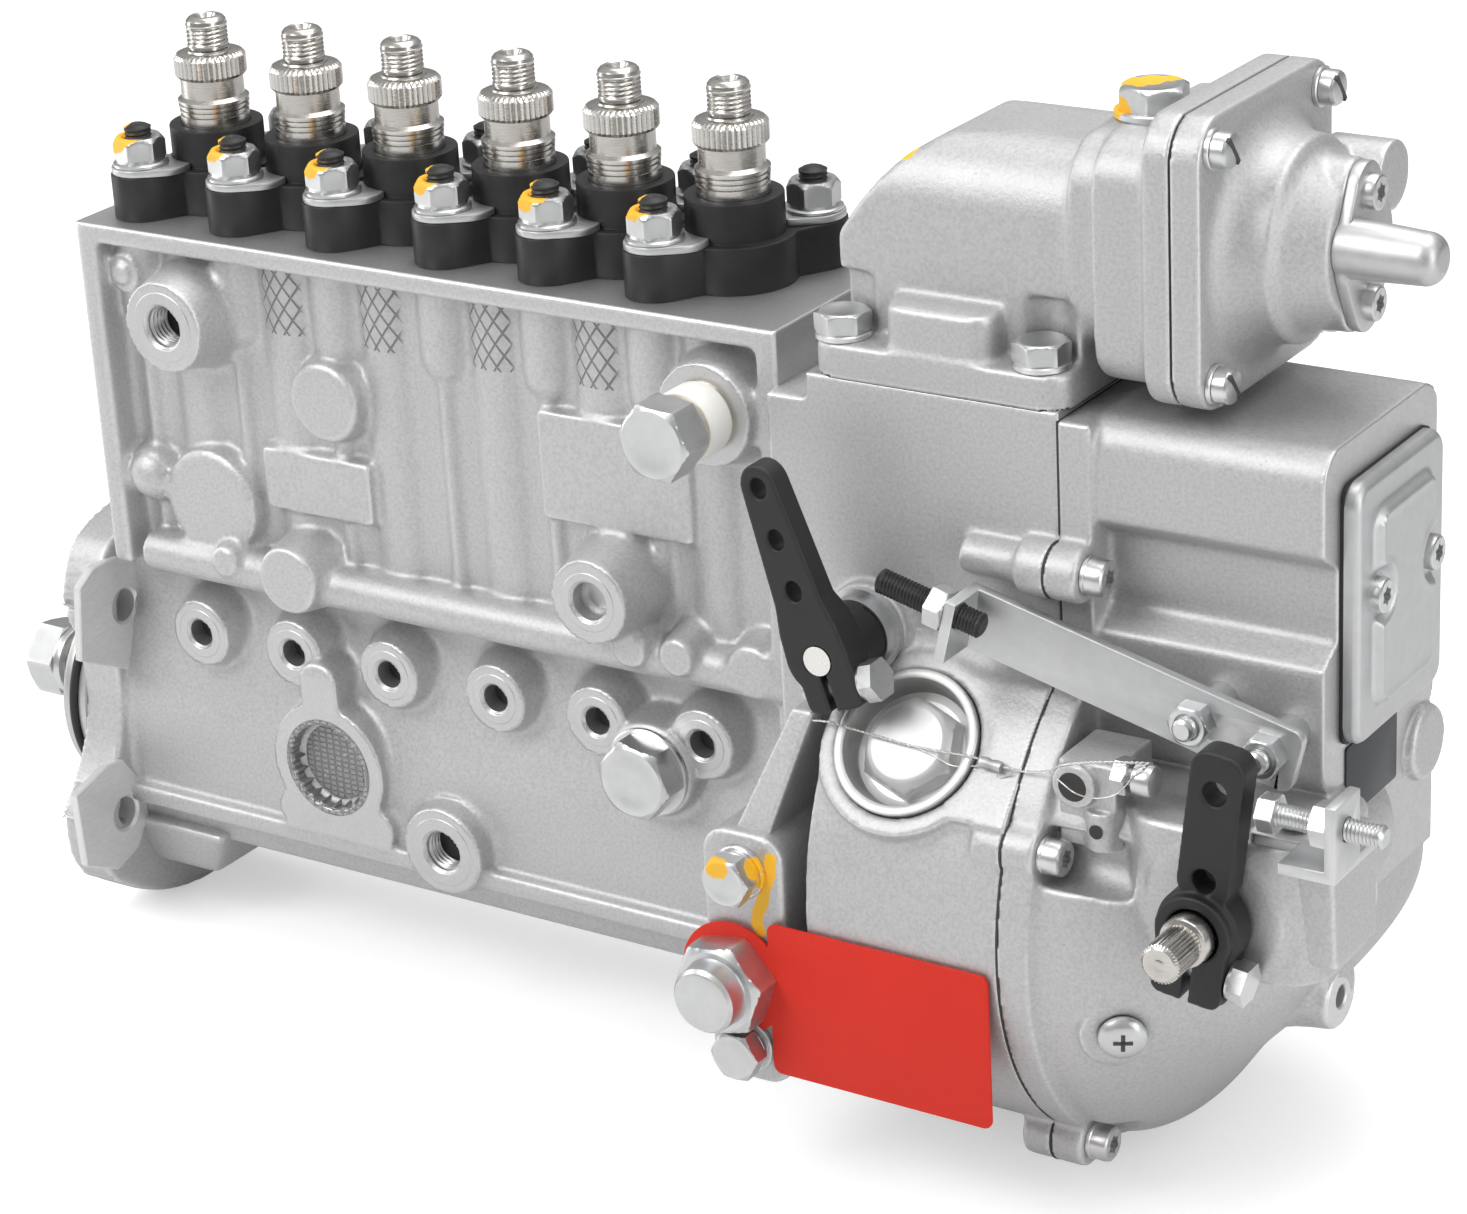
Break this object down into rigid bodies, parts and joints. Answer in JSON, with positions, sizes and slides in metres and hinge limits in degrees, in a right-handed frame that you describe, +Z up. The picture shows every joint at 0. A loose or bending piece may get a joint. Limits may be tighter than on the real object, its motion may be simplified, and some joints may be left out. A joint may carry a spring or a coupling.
{
  "type": "diesel injection pump",
  "caption": "Inline diesel injection pump: cast body with delivery valves in a row, drive flange and camshaft, governor with control and stop levers, and a boost compensator on top.",
  "frame": {"origin": "centre of the drive flange mounting face, on the camshaft axis", "axes": "+X along the camshaft from the drive end to the governor, +Z up along the plungers, -Y towards the side with the levers"},
  "size_m": [0.495, 0.1735, 0.295],
  "materials": {
    "cast_aluminium": "sand-cast, bead-blasted, satin",
    "machined_aluminium": "turned",
    "bearing_steel": "ground",
    "bright_steel": "turned, bright",
    "zinc_steel": "zinc plated",
    "black_steel": "black phosphate, oiled",
    "black_rubber": "matt",
    "white_plastic": "smooth",
    "brass": "plain",
    "red_plastic": "satin",
    "label_black": "matt, bare"
  },
  "bodies": {
    "pump": {"angle_bracket": "zinc_steel", "angle_screw": "zinc_steel", "base_bolts": "zinc_steel", "big_plug": "zinc_steel", "boost_body": "cast_aluminium", "boost_cover": "cast_aluminium", "boost_plug": "zinc_steel", "bracket_nuts": "zinc_steel", "bracket_studs": "zinc_steel", "camshaft_bearings": "bearing_steel", "cap_tube": "zinc_steel", "case_screws": "zinc_steel", "clamp_plates": "zinc_steel", "cover_screws": "zinc_steel", "data_plate": "label_black", "dome_plug": "zinc_steel", "drive_end_cover": "machined_aluminium", "element_nuts": "zinc_steel", "element_studs": "black_steel", "end_cover": "zinc_steel", "end_gasket": "black_rubber", "flange_sleeves": "black_steel", "governor_cover": "cast_aluminium", "governor_housing": "cast_aluminium", "long_bracket": "zinc_steel", "lug_bolts": "zinc_steel", "membrane": "black_rubber", "pilot_o_ring": "black_rubber", "plungers": "bearing_steel", "pump_housing": "cast_aluminium", "red_tag": "red_plastic", "rim_screws": "zinc_steel", "roller_tappets": "bearing_steel", "set_screw": "black_steel", "side_plug": "zinc_steel", "stop_screw": "zinc_steel", "stop_washers": "zinc_steel", "tag_washer": "zinc_steel", "timing_plug": "zinc_steel", "valve_holders": "bright_steel", "vent_bolt": "zinc_steel", "vent_spacer": "white_plastic", "vent_washers": "brass"},
    "camshaft": {"camshaft": "bearing_steel", "nose_washer": "zinc_steel", "nose_nut": "zinc_steel", "flyweights": "bearing_steel"},
    "rack": {"control_rack": "bearing_steel"},
    "stop_lever": {"stop_shaft": "bright_steel", "stop_lever": "black_steel", "stop_clamp_bolt": "zinc_steel"},
    "control_lever": {"control_shaft": "bright_steel", "control_lever": "black_steel", "control_clamp_bolt": "zinc_steel"},
    "sleeve_1": {"control_sleeve_1": "bearing_steel"},
    "sleeve_2": {"control_sleeve_2": "bearing_steel"},
    "sleeve_3": {"control_sleeve_3": "bearing_steel"},
    "sleeve_4": {"control_sleeve_4": "bearing_steel"},
    "sleeve_5": {"control_sleeve_5": "bearing_steel"},
    "sleeve_6": {"control_sleeve_6": "bearing_steel"}
  },
  "joints": [
    {"name": "camshaft_spin", "type": "hinge", "parent": "pump", "child": "camshaft", "pos_m": [0.13, 0, 0], "axis": [1, 0, 0], "continuous": true},
    {"name": "rack_slide", "type": "slide", "parent": "pump", "child": "rack", "axis": [1, 0, 0], "range_m": [-0.009, 0.009]},
    {"name": "stop_lever_turn", "type": "hinge", "parent": "pump", "child": "stop_lever", "pos_m": [0.2885, -0.06, 0.0875], "axis": [0, 1, 0], "range_deg": [0, 20], "stiffness_Nm_per_rad": 0.3, "springref_deg": -28.65},
    {"name": "control_lever_turn", "type": "hinge", "parent": "pump", "child": "control_lever", "pos_m": [0.3995, -0.072, 0.0405], "axis": [0, 1, 0], "range_deg": [-42, 0]},
    {"name": "sleeve_1_turn", "type": "hinge", "parent": "pump", "child": "sleeve_1", "pos_m": [0.0475, 0, 0.0875], "axis": [0, 0, 1], "range_deg": [-28.8, 28.8]},
    {"name": "sleeve_2_turn", "type": "hinge", "parent": "pump", "child": "sleeve_2", "pos_m": [0.0825, 0, 0.0875], "axis": [0, 0, 1], "range_deg": [-28.8, 28.8]},
    {"name": "sleeve_3_turn", "type": "hinge", "parent": "pump", "child": "sleeve_3", "pos_m": [0.1175, 0, 0.0875], "axis": [0, 0, 1], "range_deg": [-28.8, 28.8]},
    {"name": "sleeve_4_turn", "type": "hinge", "parent": "pump", "child": "sleeve_4", "pos_m": [0.1555, 0, 0.0875], "axis": [0, 0, 1], "range_deg": [-28.8, 28.8]},
    {"name": "sleeve_5_turn", "type": "hinge", "parent": "pump", "child": "sleeve_5", "pos_m": [0.1905, 0, 0.0875], "axis": [0, 0, 1], "range_deg": [-28.8, 28.8]},
    {"name": "sleeve_6_turn", "type": "hinge", "parent": "pump", "child": "sleeve_6", "pos_m": [0.2255, 0, 0.0875], "axis": [0, 0, 1], "range_deg": [-28.8, 28.8]}
  ],
  "couplings": [
    {"joint": "sleeve_1_turn", "follows": "rack_slide", "rad_per_m": 55.556},
    {"joint": "sleeve_2_turn", "follows": "rack_slide", "rad_per_m": 55.556},
    {"joint": "sleeve_3_turn", "follows": "rack_slide", "rad_per_m": 55.556},
    {"joint": "sleeve_4_turn", "follows": "rack_slide", "rad_per_m": 55.556},
    {"joint": "sleeve_5_turn", "follows": "rack_slide", "rad_per_m": 55.556},
    {"joint": "sleeve_6_turn", "follows": "rack_slide", "rad_per_m": 55.556}
  ]
}
